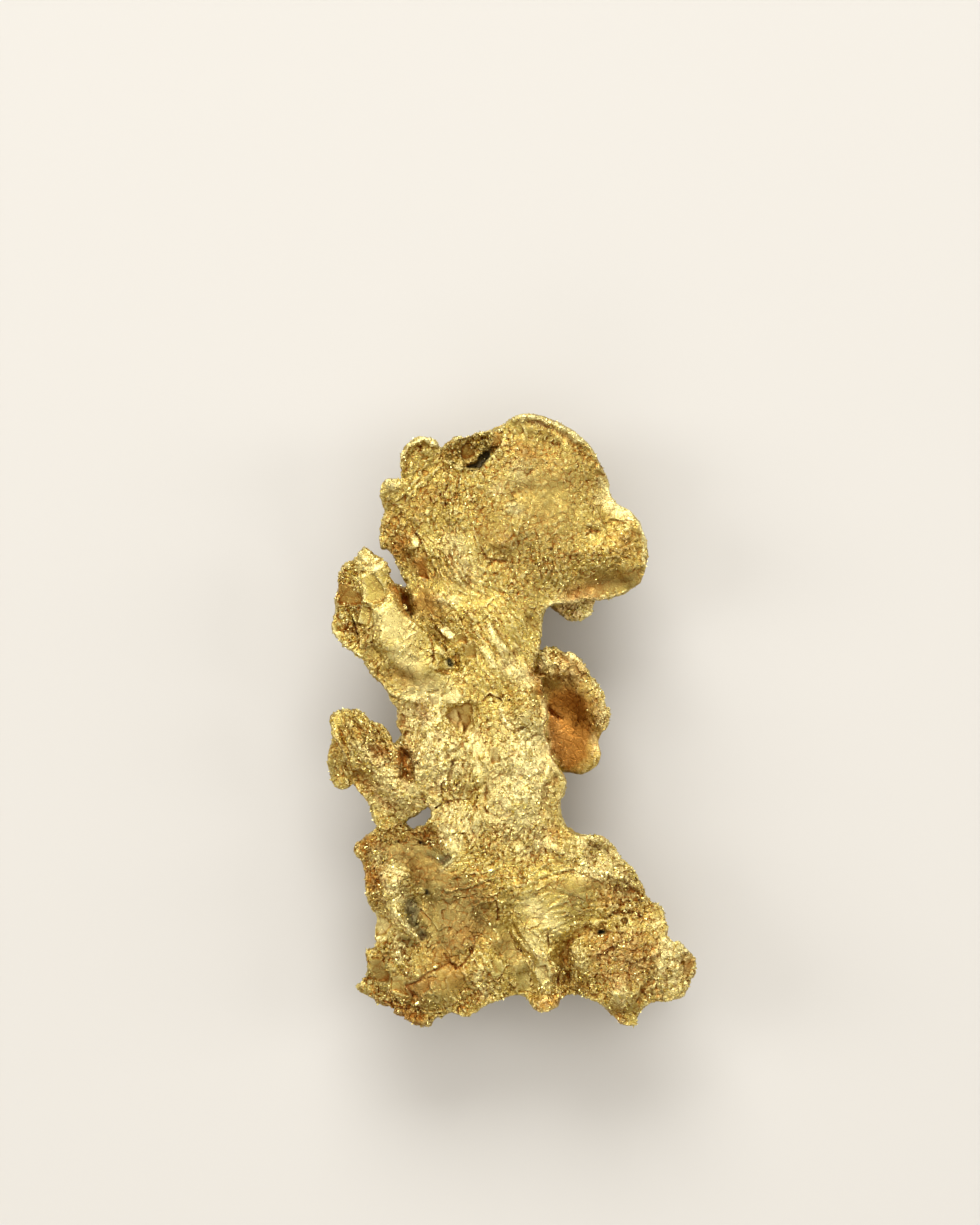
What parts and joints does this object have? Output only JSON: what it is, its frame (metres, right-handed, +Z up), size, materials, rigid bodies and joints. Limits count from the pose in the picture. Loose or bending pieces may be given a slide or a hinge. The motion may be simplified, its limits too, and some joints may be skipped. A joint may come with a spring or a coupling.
{
  "type": "leaf gold crystal",
  "caption": "Natural leaf gold specimen: curled, crumpled crystalline leaves of native gold grown together in one piece, lying on its back.",
  "frame": {"origin": "middle of the piece's outline, on the plane it rests on", "axes": "+Y from the base to the crown, +X across the leaves to the right, +Z up from the resting plane to the front of the leaves"},
  "size_m": [0.0148, 0.0246, 0.0054],
  "materials": {
    "native_gold": "crystalline native gold, grainy satin with bright facets, warm brown stain in the hollows"
  },
  "bodies": {
    "root": {"leaf_gold": "native_gold"}
  },
  "joints": []
}
